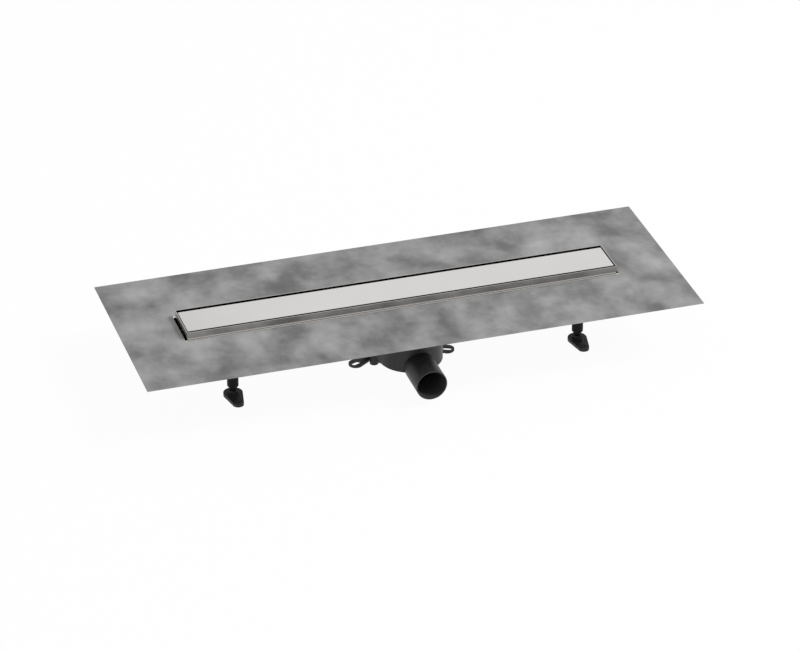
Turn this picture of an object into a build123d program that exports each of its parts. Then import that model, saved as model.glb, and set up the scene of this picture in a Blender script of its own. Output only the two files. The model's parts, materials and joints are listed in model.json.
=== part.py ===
from build123d import *
import os
from math import atan2, cos, degrees, radians, sin

# Linear shower drain. Millimetres, +Z up, floor at z = 0, inlet axis of the trap at x = y = 0.
# The drain's length runs along X, and the outlet pipe points to the front, -Y.

# Cover plate and the slot round it
cover_length = 700.0
cover_width = 62.0
cover_sheet = 1.5
cover_skirt = 8.0
cover_bend = 0.5
side_slot = 5.0
end_slot = 1.5
cover_recess = 0.8

# Pads that hold the cover up and centre it
pad_length = 20.0
pad_depth = 5.5
pad_nose_height = 3.0
pad_clearance = 0.3
pad_spacing = 240.0

# Top frame
frame_rise = 12.5
frame_sheet = 1.5
frame_ledge = 12.0
frame_corner = 2.5
weep_rise = 0.8

# Spacers under the frame's ledge
spacer_height = 4.5
spacer_length = 24.0
spacer_spacing = 220.0
spacer_clearance = 0.3

# Channel tray
tray_side_clearance = 0.5
tray_end_clearance = 3.0
tray_sheet = 1.2
tray_corner = 5.0
lip_fold = 2.0
lip_bend = 0.8
lip_overrun = 1.5
tray_end_depth = 11.0
tray_fall = 5.0
outlet_flat = 80.0

# Bonding flange and sealing sheet
sheet_height = 105.0
sheet_thickness = 0.8
sheet_end_margin = 92.8
sheet_side_margin = 129.8
sheet_clearance = 0.3
flange_width = 30.0
flange_sheet = 1.2
flange_corner = 12.0

# Outlet spigot
spigot_radius = 23.0
spigot_wall = 1.2
spigot_insert = 20.0

# Dip tube and the hair strainer
dip_play = 1.0
dip_wall = 2.4
dip_flange = 9.0
dip_flange_thickness = 2.0
dip_floor_gap = 5.7
strainer_rim = 6.0
strainer_sheet = 0.8
strainer_slot_width = 3.0
strainer_slot_margin = 2.0
strainer_slot_count = 5

# Trap
trap_gap = 5.8
trap_wall = 2.8
trap_radius = 56.0
lobe_radius = 51.0
lobe_offset = 64.0
trap_clearance = 2.0
cup_height = 9.0
lobe_height = 29.0
weir_gap = 11.5
lid_thickness = 3.0
collar_depth = 14.0
collar_rise = 1.5
collar_ledge = 2.0
seal_thickness = 4.0
seal_clearance = 0.1
outlet_radius = 25.0
outlet_wall = 1.8
outlet_height = 38.0
outlet_length = 59.0
outlet_chamfer = 0.4
outlet_root = 1.5
trough_step = 0.4
post_radius = 7.0
post_proud = 5.0
post_height = 3.5
post_angle = 62.0
ear_overhang = 22.0
ear_angle = 76.5
ear_radius = 11.5
ear_thickness = 3.2
ear_root_inset = 8.0
ear_root_radius = 6.0
ear_post_radius = 5.0
ear_root_angle = 84.0
ear_slot_width = 9.0
ear_slot_length = 16.0

# Levelling legs
leg_end_inset = 72.6
leg_side_offset = 8.2
stud_radius = 4.0
stud_clearance = 0.1
stud_engagement = 32.0
stud_spare = 6.0
nut_width = 13.0
nut_height = 6.5
barrel_radius = 9.0
barrel_bottom = 16.5
barrel_length = 45.5
barrel_chamfer = 1.5
neck_radius = 4.5
neck_clearance = 0.1
base_radius = 15.3
base_thickness = 5.5
base_floor = 2.5
hub_radius = 8.0
hub_height = 11.0
tip_radius = 8.9
tip_reach = 30.5
screw_hole_radius = 2.75

# Sizes worked out from the driving dimensions
frame_inner_length = cover_length + 2 * end_slot
frame_inner_width = cover_width + 2 * side_slot
frame_length = frame_inner_length + 2 * frame_sheet
frame_width = frame_inner_width + 2 * frame_sheet
tray_inner_length = frame_length + 2 * tray_end_clearance
tray_inner_width = frame_width + 2 * tray_side_clearance
tray_length = tray_inner_length + 2 * tray_sheet
tray_width = tray_inner_width + 2 * tray_sheet
tray_inner_corner = tray_corner - tray_sheet

# Levels, from the top of the drain to the floor
frame_top = sheet_height + frame_rise
cover_top = frame_top - cover_recess
cover_underside = cover_top - cover_sheet
flange_top = sheet_height - sheet_thickness
lip_top = flange_top + tray_sheet
flange_underside = flange_top - flange_sheet
tray_end_floor = sheet_height - tray_end_depth
tray_outlet_floor = tray_end_floor - tray_fall
tray_underside = tray_outlet_floor - tray_sheet
frame_bottom = tray_end_floor + spacer_height
ledge_top = frame_bottom + frame_sheet
trap_top = tray_underside - trap_gap
tub_top = trap_top - lid_thickness
weir_top = tub_top - weir_gap
ear_top = trap_clearance + ear_thickness
cup_floor = cup_height + trap_wall
dip_end = cup_floor + dip_floor_gap
dip_top = tray_outlet_floor + dip_flange_thickness

# Radii and places shared by pieces that fit
spigot_bore = spigot_radius - spigot_wall
dip_radius = spigot_bore - dip_play
dip_bore = dip_radius - dip_wall
socket_radius = spigot_radius + seal_thickness
outlet_bore = outlet_radius - outlet_wall
outlet_mouth = lobe_offset + lobe_radius + outlet_length
post_circle = trap_radius + post_proud - post_radius
leg_x = tray_length / 2 - leg_end_inset
leg_y = tray_width / 2 + leg_side_offset
barrel_top = barrel_bottom + barrel_length
stud_bottom = barrel_top - stud_engagement
bore_bottom = stud_bottom - stud_spare

on_floor = (Align.CENTER, Align.CENTER, Align.MIN)


def save(node, shape):
    export_step(shape, f"parts/{node}.step")


def slab(length, width, corner, bottom, top):
    outline = RectangleRounded(length, width, corner)
    return extrude(Pos(0, 0, bottom) * outline, top - bottom)


def disc(radius, bottom, top, x=0.0, y=0.0):
    return Pos(x, y, bottom) * Cylinder(radius, top - bottom, align=on_floor)


def hull_slab(circles, bottom, top):
    edges = [edge for radius, x, y in circles for edge in (Pos(x, y) * Circle(radius)).edges()]
    return extrude(Pos(0, 0, bottom) * make_hull(edges), top - bottom)


def turned(points):
    return revolve(Plane.XZ * make_face(Polyline(*points, close=True)), Axis.Z)


def front_polar(radius, angle):
    # Angle in degrees from the outlet's direction, -Y, towards +X
    return radius * sin(radians(angle)), -radius * cos(radians(angle))


def make_cover_plate():
    blank = extrude(
        Pos(0, 0, cover_top - cover_skirt) * Rectangle(cover_length, cover_width), cover_skirt
    )
    folded = fillet(blank.faces().sort_by(Axis.Z)[-1].edges(), cover_bend)
    hollow = Pos(0, 0, cover_underside) * Box(
        cover_length - 2 * cover_sheet,
        cover_width - 2 * cover_sheet,
        2 * cover_skirt,
        align=(Align.CENTER, Align.CENTER, Align.MAX),
    )
    return folded - hollow


def make_pad(cover_half, frame_half):
    # L-shaped block: the nose reaches under the cover's skirt to the frame's wall
    outer = cover_half - cover_sheet - pad_clearance
    inner = outer - pad_depth
    nose = frame_half - pad_clearance
    nose_top = ledge_top + pad_nose_height
    profile = Polyline(
        (inner, ledge_top),
        (nose, ledge_top),
        (nose, nose_top),
        (outer, nose_top),
        (outer, cover_underside),
        (inner, cover_underside),
        close=True,
    )
    return extrude(Plane.XZ * make_face(profile), pad_length / 2, both=True)


def make_cover_pads():
    side_pad = Rot(0, 0, 90) * make_pad(cover_width / 2, frame_inner_width / 2)
    end_pad = make_pad(cover_length / 2, frame_inner_length / 2)
    pads = [end_pad, Rot(0, 0, 180) * end_pad]
    for place in (-1, 0, 1):
        pads.append(Pos(place * pad_spacing, 0, 0) * side_pad)
        pads.append(Pos(place * pad_spacing, 0, 0) * Rot(0, 0, 180) * side_pad)
    return Compound([solid for pad in pads for solid in pad.solids()])


def make_top_frame():
    wall = slab(frame_length, frame_width, frame_corner, frame_bottom, frame_top)
    well = slab(
        frame_inner_length, frame_inner_width, frame_corner - frame_sheet, ledge_top, frame_top
    )
    opening = extrude(
        Pos(0, 0, frame_bottom)
        * Rectangle(frame_inner_length - 2 * frame_ledge, frame_inner_width - 2 * frame_ledge),
        frame_sheet,
    )
    # Weep slots at both ends let water off the sealing sheet into the tray
    weep = Pos(0, 0, ledge_top) * Box(
        frame_length, frame_inner_width, sheet_height + weep_rise - ledge_top, align=on_floor
    )
    return wall - well - opening - weep


def tray_prism(length, width, corner, drop):
    # Trough with a level stretch at the outlet and a fall towards it from both ends
    side = Polyline(
        (-length / 2, flange_top),
        (-length / 2, tray_end_floor - drop),
        (-outlet_flat / 2, tray_outlet_floor - drop),
        (outlet_flat / 2, tray_outlet_floor - drop),
        (length / 2, tray_end_floor - drop),
        (length / 2, flange_top),
        close=True,
    )
    prism = extrude(Plane.XZ * make_face(side), width / 2, both=True)
    return fillet(prism.edges().filter_by(Axis.Z), corner)


def make_tray_cavity():
    return tray_prism(tray_inner_length, tray_inner_width, tray_inner_corner, 0.0)


def make_lip():
    lip = Pos(0, tray_inner_width / 2, flange_top) * Box(
        frame_length + 2 * lip_overrun,
        tray_sheet + lip_fold,
        tray_sheet,
        align=(Align.CENTER, Align.MIN, Align.MIN),
    )
    bend = lip.edges().filter_by(Axis.X).group_by(Axis.Z)[-1].sort_by(Axis.Y)[0]
    return fillet(bend, lip_bend)


def make_channel_tray(cavity):
    # The long walls fold out over the bonding flange, and the outlet is welded on
    walls = tray_prism(tray_length, tray_width, tray_corner, tray_sheet)
    spigot_bottom = trap_top - spigot_insert
    spigot = disc(spigot_radius, spigot_bottom, tray_underside)
    outlet = disc(spigot_bore, spigot_bottom, tray_outlet_floor)
    trough = walls + spigot - cavity - outlet
    for side in (0, 180):
        trough += Rot(0, 0, side) * make_lip()
    return trough


def make_frame_spacers(cavity):
    spacers = []
    y_inner = frame_inner_width / 2 - frame_ledge
    y_outer = tray_inner_width / 2 - spacer_clearance
    for place in (-1.5, -0.5, 0.5, 1.5):
        for side in (-1, 1):
            block = Pos(place * spacer_spacing, side * (y_inner + y_outer) / 2, frame_bottom) * Box(
                spacer_length,
                y_outer - y_inner,
                tray_end_floor,
                align=(Align.CENTER, Align.CENTER, Align.MAX),
            )
            spacers.append(block & cavity)
    return Compound([solid for spacer in spacers for solid in spacer.solids()])


def make_bonding_flange():
    plate = slab(
        tray_length + 2 * flange_width,
        tray_width + 2 * flange_width,
        flange_corner,
        flange_underside,
        flange_top,
    )
    return plate - slab(tray_length, tray_width, tray_corner, flange_underside, flange_top)


def make_sealing_sheet():
    # The cut-out lies round the tray's lips and leaves an open slit at each end of the frame
    blank = extrude(
        Pos(0, 0, flange_top)
        * Rectangle(tray_length + 2 * sheet_end_margin, tray_width + 2 * sheet_side_margin),
        sheet_thickness,
    )
    cut_out = Pos(0, 0, flange_top) * Box(
        tray_inner_length,
        tray_width + 2 * (lip_fold + sheet_clearance),
        sheet_thickness,
        align=on_floor,
    )
    return blank - cut_out


def make_dip_tube():
    tube = disc(dip_radius, dip_end, dip_top)
    tube += disc(dip_radius + dip_flange, tray_outlet_floor, dip_top)
    return tube - disc(dip_bore, dip_end, dip_top)


def make_hair_strainer():
    plate = disc(dip_bore + strainer_rim, dip_top, dip_top + strainer_sheet)
    reach = 2 * (dip_bore - strainer_slot_margin)
    pitch = reach / strainer_slot_count
    slots = []
    for place in range(strainer_slot_count):
        x = (place - (strainer_slot_count - 1) / 2) * pitch
        length = 2 * ((reach / 2) ** 2 - x**2) ** 0.5
        slots.append(
            Pos(x, 0, dip_top) * Box(strainer_slot_width, length, strainer_sheet, align=on_floor)
        )
    return plate - slots


def make_ear(side):
    # Screw ear near the floor, on a short post that rises into the inlet end's floor
    tip_x, tip_y = front_polar(trap_radius + ear_overhang, side * ear_angle)
    root_x, root_y = front_polar(trap_radius - ear_root_inset, side * ear_root_angle)
    ends = [(ear_radius, tip_x, tip_y), (ear_root_radius, root_x, root_y)]
    ear = hull_slab(ends, trap_clearance, ear_top)
    ear += disc(ear_post_radius, trap_clearance, cup_floor, root_x, root_y)
    ear_turn = degrees(atan2(tip_y - root_y, tip_x - root_x))
    slot = SlotOverall(ear_slot_length, ear_slot_width, rotation=ear_turn)
    return ear - extrude(Pos(tip_x, tip_y, trap_clearance) * slot, ear_thickness)


def make_trap_tub():
    mouth_plane = Plane(origin=(0, -outlet_mouth, outlet_height), x_dir=(1, 0, 0), z_dir=(0, 1, 0))
    two_ends = [(trap_radius, 0, 0), (lobe_radius, 0, -lobe_offset)]
    inner_ends = [(radius - trap_wall, x, y) for radius, x, y in two_ends]
    outlet = extrude(mouth_plane * Circle(outlet_radius), outlet_length - outlet_root)
    outlet = chamfer(outlet.faces().sort_by(Axis.Y)[0].edges(), outlet_chamfer)
    trough = extrude(
        mouth_plane.offset(outlet_chamfer) * Circle(outlet_radius - trough_step),
        outlet_mouth - outlet_chamfer - lobe_offset / 2,
    )
    body = hull_slab(two_ends, lobe_height, tub_top) + disc(trap_radius, cup_height, lobe_height)
    body += outlet + trough
    for side in (-1, 1):
        x, y = front_polar(post_circle, side * post_angle)
        body += disc(post_radius, post_height, tub_top, x, y)
        body += make_ear(side)
    inlet_chamber = disc(trap_radius - trap_wall, cup_floor, weir_top)
    outlet_chamber = hull_slab(inner_ends, lobe_height + trap_wall, tub_top)
    bore = extrude(mouth_plane * Circle(outlet_bore), outlet_mouth)
    weir = disc(trap_radius, cup_height, weir_top)
    body -= (outlet_chamber + bore) - weir
    return body - inlet_chamber


def make_trap_lid():
    two_ends = [(trap_radius, 0, 0), (lobe_radius, 0, -lobe_offset)]
    collar_bottom = trap_top - collar_depth
    collar_top = trap_top + collar_rise
    lid = hull_slab(two_ends, tub_top, trap_top)
    lid += disc(socket_radius + trap_wall, collar_bottom, collar_top)
    lid -= disc(socket_radius, collar_bottom + collar_ledge, collar_top)
    return lid - disc(spigot_radius + spigot_wall, collar_bottom, collar_top)


def make_inlet_seal():
    bottom = trap_top - collar_depth + collar_ledge
    ring = disc(socket_radius - seal_clearance, bottom, trap_top)
    return ring - disc(spigot_radius + seal_clearance, bottom, trap_top)


def make_studs(places):
    return Compound([disc(stud_radius, stud_bottom, flange_underside, x, y) for x, y in places])


def make_lock_nut(x, y):
    hexagon = RegularPolygon(nut_width / 2, 6, major_radius=False)
    nut = extrude(Pos(x, y, barrel_top) * hexagon, nut_height)
    return nut - disc(stud_radius + stud_clearance, barrel_top, barrel_top + nut_height, x, y)


def make_leg_barrel(x, y):
    barrel = disc(barrel_radius, barrel_bottom, barrel_top, x, y)
    barrel = chamfer(barrel.edges().group_by(Axis.Z)[0], barrel_chamfer)
    barrel += disc(neck_radius, base_floor, barrel_bottom, x, y)
    return barrel - disc(stud_radius + stud_clearance, bore_bottom, barrel_top, x, y)


def make_foot_base(x, y, front):
    # Teardrop base: its tip, with the screw hole, points away from the drain
    tip_y = y + front * tip_reach
    base = hull_slab([(base_radius, x, y), (tip_radius, x, tip_y)], 0, base_thickness)
    base += disc(hub_radius, base_thickness, hub_height, x, y)
    base -= disc(neck_radius + neck_clearance, base_floor, hub_height, x, y)
    return base - disc(screw_hole_radius, 0, base_thickness, x, tip_y)


os.makedirs("parts", exist_ok=True)

tray_cavity = make_tray_cavity()
save("cover_plate", make_cover_plate())
save("cover_pads", make_cover_pads())
save("top_frame", make_top_frame())
save("frame_spacers", make_frame_spacers(tray_cavity))
save("channel_tray", make_channel_tray(tray_cavity))
save("bonding_flange", make_bonding_flange())
save("sealing_sheet", make_sealing_sheet())
save("dip_tube", make_dip_tube())
save("hair_strainer", make_hair_strainer())
save("trap_tub", make_trap_tub())
save("trap_lid", make_trap_lid())
save("inlet_seal", make_inlet_seal())

leg_places = {
    "front_left": (-leg_x, -leg_y),
    "front_right": (leg_x, -leg_y),
    "rear_left": (-leg_x, leg_y),
    "rear_right": (leg_x, leg_y),
}
save("studs", make_studs(leg_places.values()))
for corner, (x, y) in leg_places.items():
    save(f"lock_nut_{corner}", make_lock_nut(x, y))
    save(f"leg_barrel_{corner}", make_leg_barrel(x, y))
    save(f"foot_base_{corner}", make_foot_base(x, y, 1 if y > 0 else -1))
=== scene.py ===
import json
from math import pi, radians

import bmesh
import bpy
from mathutils import Matrix, Vector


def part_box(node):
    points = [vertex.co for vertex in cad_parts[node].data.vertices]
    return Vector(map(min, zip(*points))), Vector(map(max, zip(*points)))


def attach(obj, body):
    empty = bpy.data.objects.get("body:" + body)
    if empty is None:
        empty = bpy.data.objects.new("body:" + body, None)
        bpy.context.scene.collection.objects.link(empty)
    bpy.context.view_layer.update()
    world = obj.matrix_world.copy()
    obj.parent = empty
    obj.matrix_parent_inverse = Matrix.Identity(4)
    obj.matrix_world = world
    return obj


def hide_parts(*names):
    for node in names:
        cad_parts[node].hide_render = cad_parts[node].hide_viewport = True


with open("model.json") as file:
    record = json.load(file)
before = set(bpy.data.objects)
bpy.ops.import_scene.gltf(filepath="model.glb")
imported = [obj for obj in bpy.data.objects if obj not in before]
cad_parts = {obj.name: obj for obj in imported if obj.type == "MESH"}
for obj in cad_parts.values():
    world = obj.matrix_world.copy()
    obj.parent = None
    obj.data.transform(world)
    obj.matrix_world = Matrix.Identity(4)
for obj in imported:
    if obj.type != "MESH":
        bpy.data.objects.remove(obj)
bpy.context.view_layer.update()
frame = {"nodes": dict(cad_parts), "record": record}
scene = bpy.context.scene
mm = 0.001
legCorners = ["front_left", "front_right", "rear_left", "rear_right"]
print("drain loaded:", len(frame["nodes"]), "CAD nodes")


def startMaterial(name, roughness, metallic=0.0):
    material = bpy.data.materials.new(name)
    material.use_nodes = True
    tree = material.node_tree
    shader = tree.nodes["Principled BSDF"]
    shader.inputs["Metallic"].default_value = metallic
    shader.inputs["Roughness"].default_value = roughness
    coords = tree.nodes.new("ShaderNodeTexCoord").outputs["Object"]
    return material, tree, shader, coords


def noiseField(tree, coords, scale, detail=2.0, roughness=0.5, stretch=(1, 1, 1), offset=(0, 0, 0), warp=0.0):
    mapping = tree.nodes.new("ShaderNodeMapping")
    mapping.inputs["Scale"].default_value = stretch
    mapping.inputs["Location"].default_value = offset
    noise = tree.nodes.new("ShaderNodeTexNoise")
    noise.inputs["Scale"].default_value = scale
    noise.inputs["Detail"].default_value = detail
    noise.inputs["Roughness"].default_value = roughness
    noise.inputs["Distortion"].default_value = warp
    tree.links.new(coords, mapping.inputs["Vector"])
    tree.links.new(mapping.outputs["Vector"], noise.inputs["Vector"])
    return noise.outputs["Fac"]


def combine(tree, operation, first, second):
    node = tree.nodes.new("ShaderNodeMath")
    node.operation = operation
    for socket, value in zip(node.inputs, (first, second)):
        if isinstance(value, (int, float)):
            socket.default_value = value
        else:
            tree.links.new(value, socket)
    return node.outputs[0]


def weigh(tree, fields):
    parts = [combine(tree, "MULTIPLY", field, weight) for field, weight in fields]
    total = parts[0]
    for part in parts[1:]:
        total = combine(tree, "ADD", total, part)
    return total


def spread(tree, value, low, high, toLow, toHigh):
    node = tree.nodes.new("ShaderNodeMapRange")
    for name, number in zip(("From Min", "From Max", "To Min", "To Max"), (low, high, toLow, toHigh)):
        node.inputs[name].default_value = number
    tree.links.new(value, node.inputs["Value"])
    return node.outputs["Result"]


def colourRamp(tree, value, stops):
    node = tree.nodes.new("ShaderNodeValToRGB")
    elements = node.color_ramp.elements
    while len(elements) < len(stops):
        elements.new(0.5)
    for element, (place, colour) in zip(elements, stops):
        element.position = place
        element.color = (*colour, 1)
    tree.links.new(value, node.inputs["Fac"])
    return node.outputs["Color"]


def addBump(tree, shader, height, strength, distance):
    bump = tree.nodes.new("ShaderNodeBump")
    bump.inputs["Strength"].default_value = strength
    bump.inputs["Distance"].default_value = distance
    tree.links.new(height, bump.inputs["Height"])
    tree.links.new(bump.outputs["Normal"], shader.inputs["Normal"])


def grey(level, warm=0.0):
    return (level * (1 + warm), level, level * (1 - warm))


# A noise field runs mostly between these two values
noiseLow, noiseHigh = 0.3, 0.7


def paint(tree, shader, colour):
    tree.links.new(colour, shader.inputs["Base Color"])


def varyRoughness(tree, shader, field, smooth, rough):
    tree.links.new(spread(tree, field, noiseLow, noiseHigh, smooth, rough), shader.inputs["Roughness"])


# Painted shade: brightness in steps along one axis, in millimetres, multiplied into the colour
def paintShadeAlong(tree, coords, colour, axis, stops):
    first, last = stops[0][0], stops[-1][0]
    parts = tree.nodes.new("ShaderNodeSeparateXYZ")
    tree.links.new(coords, parts.inputs["Vector"])
    place = spread(tree, parts.outputs[axis], first * mm, last * mm, 0.0, 1.0)
    shares = [((stop - first) / (last - first), grey(level)) for stop, level in stops]
    blend = tree.nodes.new("ShaderNodeMix")
    blend.data_type = "RGBA"
    blend.blend_type = "MULTIPLY"
    blend.inputs["Factor"].default_value = 1.0
    tree.links.new(colour, blend.inputs[6])
    tree.links.new(colourRamp(tree, place, shares), blend.inputs[7])
    return blend.outputs[2]


# Steel, brushed along the drain; its cut edges and the inside of the drain are darkened with painted shade
steelGrain = {
    "stretch": (0.006, 1, 1), "cloud": 9.0, "streakShare": 0.7, "cloudShare": 0.3,
    "smooth": 0.85, "rough": 1.2, "bump": 0.03, "bumpHeight": 0.1,
}


def brushedSteel(name, look, paintedShades=()):
    roughness = look["roughness"]
    material, tree, shader, coords = startMaterial(name, roughness, 1.0)
    stretch = steelGrain["stretch"]
    streaks = noiseField(tree, coords, look["grain"], detail=3.0, roughness=0.6, stretch=stretch)
    clouds = noiseField(tree, coords, steelGrain["cloud"])
    tone = weigh(tree, [(streaks, steelGrain["streakShare"]), (clouds, steelGrain["cloudShare"])])
    tones = [(noiseLow, grey(look["dark"], look["warm"])), (noiseHigh, grey(look["light"], look["warm"]))]
    colour = colourRamp(tree, tone, tones)
    # Painted shade, in steps along the given axes
    for axis, stops in paintedShades:
        colour = paintShadeAlong(tree, coords, colour, axis, stops)
    paint(tree, shader, colour)
    varyRoughness(tree, shader, streaks, roughness * steelGrain["smooth"], roughness * steelGrain["rough"])
    addBump(tree, shader, streaks, steelGrain["bump"], steelGrain["bumpHeight"] * mm)
    return material


# Light that reaches into the outlet pipe: axis height, radius, start and gain, in millimetres
boreShade = {"height": 38.0, "radius": 23.4, "start": -115.0, "gain": 2.3}


def lightenBore(tree, coords, colour):
    parts = tree.nodes.new("ShaderNodeSeparateXYZ")
    tree.links.new(coords, parts.inputs["Vector"])
    rise = combine(tree, "SUBTRACT", parts.outputs["Z"], boreShade["height"] * mm)
    squares = [combine(tree, "MULTIPLY", side, side) for side in (parts.outputs["X"], rise)]
    reach = combine(tree, "SQRT", combine(tree, "ADD", *squares), 0.0)
    within = combine(tree, "LESS_THAN", reach, boreShade["radius"] * mm)
    ahead = combine(tree, "LESS_THAN", parts.outputs["Y"], boreShade["start"] * mm)
    inside = combine(tree, "MULTIPLY", within, ahead)
    gain = tree.nodes.new("ShaderNodeVectorMath")
    gain.operation = "SCALE"
    tree.links.new(colour, gain.inputs[0])
    tree.links.new(spread(tree, inside, 0.0, 1.0, 1.0, boreShade["gain"]), gain.inputs["Scale"])
    return gain.outputs["Vector"]


# Moulded plastic with a fine erosion grain
plasticGrain = {"cloud": 26.0, "smooth": 0.88, "rough": 1.14, "bumpHeight": 0.2}


def mouldedPlastic(name, look, piped=False):
    roughness = look["roughness"]
    material, tree, shader, coords = startMaterial(name, roughness)
    shader.inputs["Specular IOR Level"].default_value = look["gloss"]
    clouds = noiseField(tree, coords, plasticGrain["cloud"], detail=3.0)
    pores = noiseField(tree, coords, look["grain"], roughness=0.6)
    tones = [(noiseLow, grey(look["dark"])), (noiseHigh, grey(look["light"]))]
    colour = colourRamp(tree, clouds, tones)
    paint(tree, shader, lightenBore(tree, coords, colour) if piped else colour)
    varyRoughness(tree, shader, clouds, roughness * plasticGrain["smooth"], roughness * plasticGrain["rough"])
    addBump(tree, shader, pores, look["bump"], plasticGrain["bumpHeight"] * mm)
    return material


# Sealing sheet: a pressed fleece, clouded in light and dark grey
membraneLook = {
    "dark": 0.180, "light": 0.384, "darkest": 0.8, "lightest": 1.15,
    "roughness": 0.92, "gloss": 0.15, "bump": 0.25, "bumpHeight": 0.3,
    "drift": 7.0, "patch": 17.0, "wisp": 37.4, "fibre": 800.0,
    "stretch": (1, 0.74, 1), "wispStretch": (1, 0.92, 1),
    "driftShare": 0.25, "patchShare": 0.54, "wispShare": 0.145, "fibreShare": 0.065,
    "places": (0.34, 0.406, 0.5, 0.594, 0.66),
}


def sealingFleece():
    look = membraneLook
    material, tree, shader, coords = startMaterial("mottledFleece", look["roughness"])
    stretch = look["stretch"]
    drift = noiseField(tree, coords, look["drift"], stretch=stretch)
    patches = noiseField(
        tree, coords, look["patch"], detail=5.0, stretch=stretch, offset=(1.3, 2.6, 0), warp=0.1,
    )
    wisps = noiseField(
        tree, coords, look["wisp"], detail=3.0, roughness=0.6,
        stretch=look["wispStretch"], offset=(3.1, 1.7, 0),
    )
    fibres = noiseField(tree, coords, look["fibre"], roughness=0.7)
    field = weigh(tree, [
        (drift, look["driftShare"]),
        (patches, look["patchShare"]),
        (wisps, look["wispShare"]),
        (fibres, look["fibreShare"]),
    ])
    dark, light = look["dark"], look["light"]
    levels = (dark * look["darkest"], dark, (dark + light) / 2, light, light * look["lightest"])
    stops = [(place, grey(level)) for place, level in zip(look["places"], levels)]
    paint(tree, shader, colourRamp(tree, field, stops))
    shader.inputs["Specular IOR Level"].default_value = look["gloss"]
    addBump(tree, shader, fibres, look["bump"], look["bumpHeight"] * mm)
    return material


# Rubber of the inlet seal
rubberLook = {"dark": 0.008, "light": 0.016, "roughness": 0.7, "bloom": 140.0, "bump": 0.1, "bumpHeight": 0.2}


def sealRubber():
    material, tree, shader, coords = startMaterial("sealRubber", rubberLook["roughness"])
    bloom = noiseField(tree, coords, rubberLook["bloom"], detail=3.0)
    tones = [(noiseLow, grey(rubberLook["dark"])), (noiseHigh, grey(rubberLook["light"]))]
    paint(tree, shader, colourRamp(tree, bloom, tones))
    addBump(tree, shader, bloom, rubberLook["bump"], rubberLook["bumpHeight"] * mm)
    return material


# Steel of the cover, the frame, the tray and the threaded parts
coverLook = {"dark": 0.62, "light": 0.67, "warm": 0.022, "roughness": 0.20, "grain": 1500.0}
# Painted shade on the cover's edges below its top face, where it meets the gap, and a painted reflection that
# darkens towards the left end
coverPaintedShade = [
    ("Z", [(115.8, 0.10), (116.52, 0.18), (116.66, 1.0), (116.7, 1.0)]),
    ("X", [(-350, 0.89), (-230, 0.97), (-130, 1.0), (350, 0.985)]),
]
frameLook = {"dark": 0.60, "light": 0.68, "warm": 0.035, "roughness": 0.16, "grain": 1100.0}
# Painted shade inside the drain below the sheet and towards the foot of the frame's face, and a painted
# darker reflection on the top rim
framePaintedShade = [("Z", [(104.0, 0.09), (105.5, 0.70), (117.1, 0.88), (117.3, 0.60), (117.5, 0.60)])]
# Tray steel: its bright tones are a painted highlight on the lip, and below the lip painted shade halves them
# inside the drain
trayLook = {"dark": 0.78, "light": 0.86, "warm": 0.01, "roughness": 0.34, "grain": 800.0}
trayPaintedShade = [("Z", [(92.0, 0.50), (103.9, 0.50), (104.2, 1.0), (105.4, 1.0)])]
zincLook = {"dark": 0.46, "light": 0.56, "warm": -0.01, "roughness": 0.38, "grain": 700.0}

# Plastic of the trap, the feet, and the barrels and blocks
trapLook = {"dark": 0.020, "light": 0.028, "roughness": 0.45, "grain": 1400.0, "bump": 0.10, "gloss": 0.38}
footLook = {"dark": 0.021, "light": 0.029, "roughness": 0.5, "grain": 1600.0, "bump": 0.12, "gloss": 0.35}
padLook = {"dark": 0.009, "light": 0.014, "roughness": 0.6, "grain": 1500.0, "bump": 0.12, "gloss": 0.15}

finishes = {
    "cover_steel": brushedSteel("coverSteel", coverLook, coverPaintedShade),
    "frame_steel": brushedSteel("frameSteel", frameLook, framePaintedShade),
    "tray_steel": brushedSteel("traySteel", trayLook, trayPaintedShade),
    "zinc_steel": brushedSteel("zincSteel", zincLook),
    "grey_membrane": sealingFleece(),
    "trap_plastic": mouldedPlastic("trapPlastic", trapLook, piped=True),
    "foot_plastic": mouldedPlastic("footPlastic", footLook),
    "black_plastic": mouldedPlastic("padPlastic", padLook),
    "seal_rubber": sealRubber(),
}
slotOf = {part["node"]: part["material_slot"] for part in frame["record"]["subparts"]}
bodyOf = {node: body for body, members in frame["record"]["behaviour"]["bodies"].items() for node in members}
print("finishes:", len(finishes))


def setPiece(name, mesh, node, finish=None):
    slot = slotOf[node]
    mesh.materials.clear()
    mesh.materials.append(finishes[finish or slot])
    piece = bpy.data.objects.new(name, mesh)
    scene.collection.objects.link(piece)
    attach(piece, bodyOf[node])
    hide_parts(node)
    return piece


def meshFrom(bm, name, sharpAngle=32):
    mesh = bpy.data.meshes.new(name)
    bm.to_mesh(mesh)
    bm.free()
    mesh.shade_smooth()
    mesh.set_sharp_from_angle(angle=radians(sharpAngle))
    return mesh


def roundEdges(piece, width, segments=3, angle=38):
    bevel = piece.modifiers.new("edgeRound", "BEVEL")
    bevel.width = width
    bevel.segments = segments
    bevel.limit_method = "ANGLE"
    bevel.angle_limit = radians(angle)
    bevel.profile = 0.5
    bevel.material = -1
    even = piece.modifiers.new("evenNormals", "WEIGHTED_NORMAL")
    even.keep_sharp = True


def joinPoints(bm):
    bmesh.ops.remove_doubles(bm, verts=bm.verts, dist=0.002 * mm)


# A solid's own shape, with its loose triangles joined
def mergedCopy(node):
    bm = bmesh.new()
    bm.from_mesh(frame["nodes"][node].data)
    joinPoints(bm)
    bmesh.ops.dissolve_limit(bm, angle_limit=radians(0.6), verts=bm.verts, edges=bm.edges)
    return bm


def dressSolid(node, name, edgeWidth, segments=2, finish=None, shape=None):
    bm = mergedCopy(node)
    if shape:
        shape(bm)
    piece = setPiece(name, meshFrom(bm, name), node, finish)
    roundEdges(piece, edgeWidth, segments)


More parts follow.
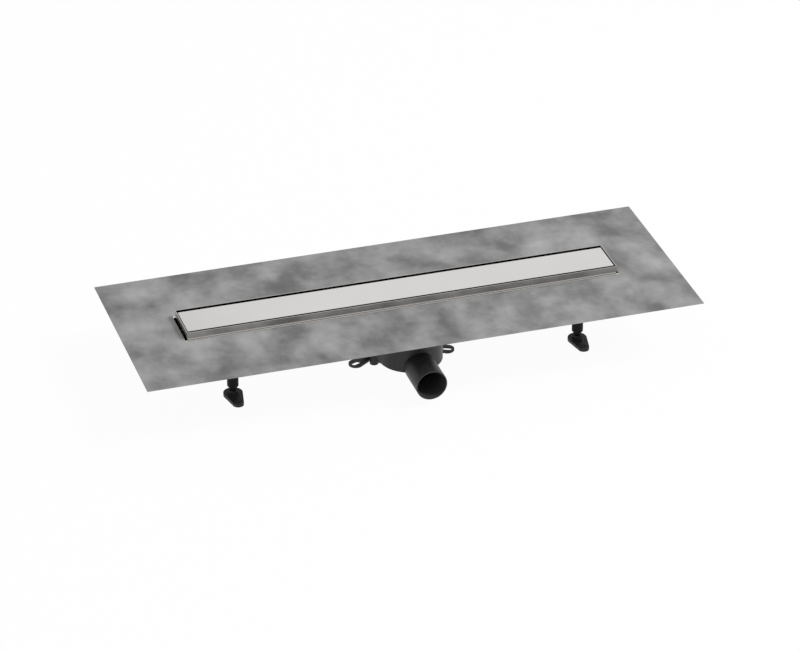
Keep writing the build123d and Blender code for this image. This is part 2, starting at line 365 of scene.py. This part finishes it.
# Name, edge rounding in millimetres, and a finish where it isn't the slot's own
dressedSolids = {
    "cover_plate": ("coverPlate", 0.25, None),
    "cover_pads": ("coverPads", 0.4, None),
    "top_frame": ("topFrame", 0.25, None),
    "frame_spacers": ("frameSpacers", 0.4, None),
    "channel_tray": ("channelTray", 0.2, "tray_steel"),
    "bonding_flange": ("bondingFlange", 0.2, "tray_steel"),
    "dip_tube": ("dipTube", 0.4, None),
    "hair_strainer": ("hairStrainer", 0.15, "tray_steel"),
    "trap_tub": ("trapTub", 0.4, None),
    "trap_lid": ("trapLid", 0.6, None),
    "inlet_seal": ("inletSeal", 0.4, None),
}
for node, (name, edgeWidth, finish) in dressedSolids.items():
    dressSolid(node, name, edgeWidth * mm, finish=finish)
print("solids dressed:", len(dressedSolids))

# Feet
footShape = {
    "barrelEdge": 0.5, "baseEdge": 0.5, "baseTop": 5.5,
    "tipRadius": 8.9, "holeReach": 3.2, "sink": 1.5,
}


# Countersink for the fixing screw, at the outer tip of the base
def sinkScrewHole(bm):
    tip = max(bm.verts, key=lambda v: abs(v.co.y)).co.copy()
    inset = footShape["tipRadius"] * mm
    hole = Vector((tip.x, tip.y - (inset if tip.y > 0 else -inset)))
    rim = []
    for edge in bm.edges:
        level = all(abs(v.co.z - footShape["baseTop"] * mm) < 0.01 * mm for v in edge.verts)
        middle = (edge.verts[0].co + edge.verts[1].co) / 2
        if level and (middle.xy - hole).length < footShape["holeReach"] * mm:
            rim.append(edge)
    bmesh.ops.bevel(
        bm, geom=rim, offset=footShape["sink"] * mm, affect="EDGES", segments=2, profile=0.5, material=-1,
        clamp_overlap=True,
    )


for corner in legCorners:
    barrelEdge = footShape["barrelEdge"] * mm
    baseEdge = footShape["baseEdge"] * mm
    dressSolid(f"leg_barrel_{corner}", f"legBarrel.{corner}", barrelEdge, 3, "black_plastic")
    dressSolid(f"foot_base_{corner}", f"footBase.{corner}", baseEdge, 3, shape=sinkScrewHole)
print("feet dressed:", len(legCorners))

# Sealing sheet: one flat cut with a hole for the tray
sheetCut = {"edge": 0.12}


def makeSheet():
    bm = mergedCopy("sealing_sheet")
    bm.normal_update()
    area = sum(face.calc_area() for face in bm.faces if face.normal.z > 0.9)
    sheet = setPiece("sealingSheet", meshFrom(bm, "sealingSheet"), "sealing_sheet")
    roundEdges(sheet, sheetCut["edge"] * mm, 2)


makeSheet()
print("sealing sheet laid")

# Threaded studs
studThread = {"radius": 4.0, "pitch": 1.25, "depth": 0.7, "crest": (0.42, 0.58), "start": 0.3, "sides": 20}
coreSides = 32


def makeStuds():
    low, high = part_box("studs")
    outer = studThread["radius"] * mm
    root = outer - studThread["depth"] * mm
    pitch = studThread["pitch"] * mm
    start = low.z + studThread["start"] * mm
    turns = int((high.z - low.z) / pitch) - 1
    steps = turns * studThread["sides"]
    rise = turns * pitch / steps
    crestLow, crestHigh = studThread["crest"]
    profile = [(root, 0.0), (outer, crestLow), (outer, crestHigh), (root, 1.0)]
    bm = bmesh.new()
    for corner in legCorners:
        barrelLow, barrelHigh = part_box(f"leg_barrel_{corner}")
        centre = (barrelLow + barrelHigh) / 2
        verts = [bm.verts.new((centre.x + r, centre.y, start + part * pitch)) for r, part in profile]
        edges = [bm.edges.new(pair) for pair in zip(verts, verts[1:])]
        bmesh.ops.spin(
            bm, geom=verts + edges, cent=(centre.x, centre.y, 0), axis=(0, 0, 1), dvec=(0, 0, rise),
            angle=turns * 2 * pi, steps=steps,
        )
        bmesh.ops.create_cone(
            bm, cap_ends=True, segments=coreSides, radius1=root, radius2=root, depth=high.z - low.z,
            matrix=Matrix.Translation((centre.x, centre.y, (low.z + high.z) / 2)),
        )
    joinPoints(bm)
    bmesh.ops.recalc_face_normals(bm, faces=bm.faces)
    setPiece("threadedStuds", meshFrom(bm, "threadedStuds", 25), "studs")


makeStuds()

# Lock nuts with turned corners
nutShape = {"corner": 1.3, "edge": 0.2, "cornerReach": 0.54}


def makeNut(corner):
    node = f"lock_nut_{corner}"
    name = f"lockNut.{corner}"
    low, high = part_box(node)
    middle = (low + high) / 2
    reach = (high.y - low.y) * nutShape["cornerReach"]
    bm = mergedCopy(node)
    corners = [v for v in bm.verts if (v.co.xy - middle.xy).length > reach]
    bmesh.ops.bevel(
        bm, geom=corners, offset=nutShape["corner"] * mm, affect="VERTICES", segments=3, profile=0.5,
        material=-1, clamp_overlap=True,
    )
    nut = setPiece(name, meshFrom(bm, name), node)
    roundEdges(nut, nutShape["edge"] * mm, 2)


for corner in legCorners:
    makeNut(corner)
print("studs and nuts set")

# Weld fillets: round the outlet under the tray, and at the head of each stud
weldShape = {
    "leg": 1.8, "hollow": (0.55, 0.32), "steps": 48,
    "outletRadius": 23.0, "studRadius": 4.0, "trayUnderStrainer": 3.2,
}


def addFillet(bm, centre, radius, top):
    leg = weldShape["leg"] * mm
    far, near = (leg * share for share in weldShape["hollow"])
    profile = [(0, 0), (leg, 0), (far, -near), (near, -far), (0, -leg)]
    verts = [bm.verts.new((centre.x + radius + out, centre.y, top + down)) for out, down in profile]
    edges = [bm.edges.new((verts[i], verts[(i + 1) % len(verts)])) for i in range(len(verts))]
    bmesh.ops.spin(
        bm, geom=verts + edges, cent=(centre.x, centre.y, 0), axis=(0, 0, 1), angle=2 * pi,
        steps=weldShape["steps"], use_merge=True,
    )


def makeWelds():
    bm = bmesh.new()
    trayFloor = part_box("hair_strainer")[0].z - weldShape["trayUnderStrainer"] * mm
    addFillet(bm, Vector((0, 0, 0)), weldShape["outletRadius"] * mm, trayFloor)
    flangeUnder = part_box("bonding_flange")[0].z
    for corner in legCorners:
        low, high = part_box(f"leg_barrel_{corner}")
        addFillet(bm, (low + high) / 2, weldShape["studRadius"] * mm, flangeUnder)
    joinPoints(bm)
    bmesh.ops.recalc_face_normals(bm, faces=bm.faces)
    mesh = meshFrom(bm, "weldFillets", 40)
    mesh.materials.append(finishes["zinc_steel"])
    welds = bpy.data.objects.new("weldFillets", mesh)
    scene.collection.objects.link(welds)
    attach(welds, "drain")


makeWelds()
print("welds laid")

# Floor and light
studio = {
    "floor": 14.0, "floorDrop": 0.2, "floorTone": 0.95, "floorGlow": 0.96, "sky": 0.55,
    "keyPower": 360.0, "keySize": 2.0, "key": (4.8, -2.6, 6.2),
}


def backgroundMask(tree):
    path = tree.nodes.new("ShaderNodeLightPath")
    seen = combine(tree, "MAXIMUM", path.outputs["Is Camera Ray"], path.outputs["Is Glossy Ray"])
    return combine(tree, "MAXIMUM", seen, path.outputs["Is Transmission Ray"])


def mixShaders(tree, share, first, second):
    mix = tree.nodes.new("ShaderNodeMixShader")
    tree.links.new(share, mix.inputs["Fac"])
    tree.links.new(first.outputs[0], mix.inputs[1])
    tree.links.new(second.outputs[0], mix.inputs[2])
    return mix


def makeFloor():
    bm = bmesh.new()
    below = Matrix.Translation((0, 0, -studio["floorDrop"] * mm))
    bmesh.ops.create_grid(bm, x_segments=1, y_segments=1, size=studio["floor"] / 2, matrix=below)
    floor = bpy.data.objects.new("floor", meshFrom(bm, "floor"))
    scene.collection.objects.link(floor)
    material = bpy.data.materials.new("paleFloor")
    material.use_nodes = True
    tree = material.node_tree
    tree.nodes.clear()
    matt = tree.nodes.new("ShaderNodeBsdfDiffuse")
    matt.inputs["Color"].default_value = (*grey(studio["floorTone"]), 1)
    glow = tree.nodes.new("ShaderNodeEmission")
    share = combine(tree, "MULTIPLY", backgroundMask(tree), studio["floorGlow"])
    top = mixShaders(tree, share, matt, glow)
    # The floor is open to a look from underneath
    clear = tree.nodes.new("ShaderNodeBsdfTransparent")
    side = tree.nodes.new("ShaderNodeNewGeometry").outputs["Backfacing"]
    seen = tree.nodes.new("ShaderNodeLightPath").outputs["Is Camera Ray"]
    either = mixShaders(tree, combine(tree, "MULTIPLY", side, seen), top, clear)
    output = tree.nodes.new("ShaderNodeOutputMaterial")
    tree.links.new(either.outputs[0], output.inputs["Surface"])
    floor.data.materials.append(material)


def lightStudio():
    world = bpy.data.worlds.new("studioSky")
    scene.world = world
    world.use_nodes = True
    tree = world.node_tree
    tree.nodes.clear()
    sky = tree.nodes.new("ShaderNodeBackground")
    sky.inputs["Strength"].default_value = studio["sky"]
    white = tree.nodes.new("ShaderNodeBackground")
    for light in (sky, white):
        light.inputs["Color"].default_value = (1, 1, 1, 1)
    output = tree.nodes.new("ShaderNodeOutputWorld")
    tree.links.new(mixShaders(tree, backgroundMask(tree), sky, white).outputs[0], output.inputs["Surface"])
    key = bpy.data.objects.new("key", bpy.data.lights.new("key", "AREA"))
    key.data.energy = studio["keyPower"]
    key.data.size = studio["keySize"]
    key.location = studio["key"]
    key.visible_glossy = False
    key.rotation_euler = (-Vector(studio["key"])).to_track_quat("-Z", "Y").to_euler()
    scene.collection.objects.link(key)


makeFloor()
lightStudio()

# Camera, fitted to the photograph's view
view = {
    "place": (-1.6347, -5.1795, 3.1632),
    "right": (0.95346, -0.30151, 0.0),
    "up": (0.14991, 0.47405, 0.86764),
    "ahead": (0.26160, 0.82726, -0.49719),
    "lens": 178.21,
    "sensor": 36.0,
}
camera = bpy.data.objects.new("camera", bpy.data.cameras.new("camera"))
camera.data.lens = view["lens"]
camera.data.sensor_width = view["sensor"]
axes = Matrix((view["right"], view["up"], [-part for part in view["ahead"]])).transposed()
camera.matrix_world = Matrix.Translation(view["place"]) @ axes.to_4x4()
scene.collection.objects.link(camera)
scene.camera = camera
scene.view_settings.view_transform = "Standard"

print("scene set")
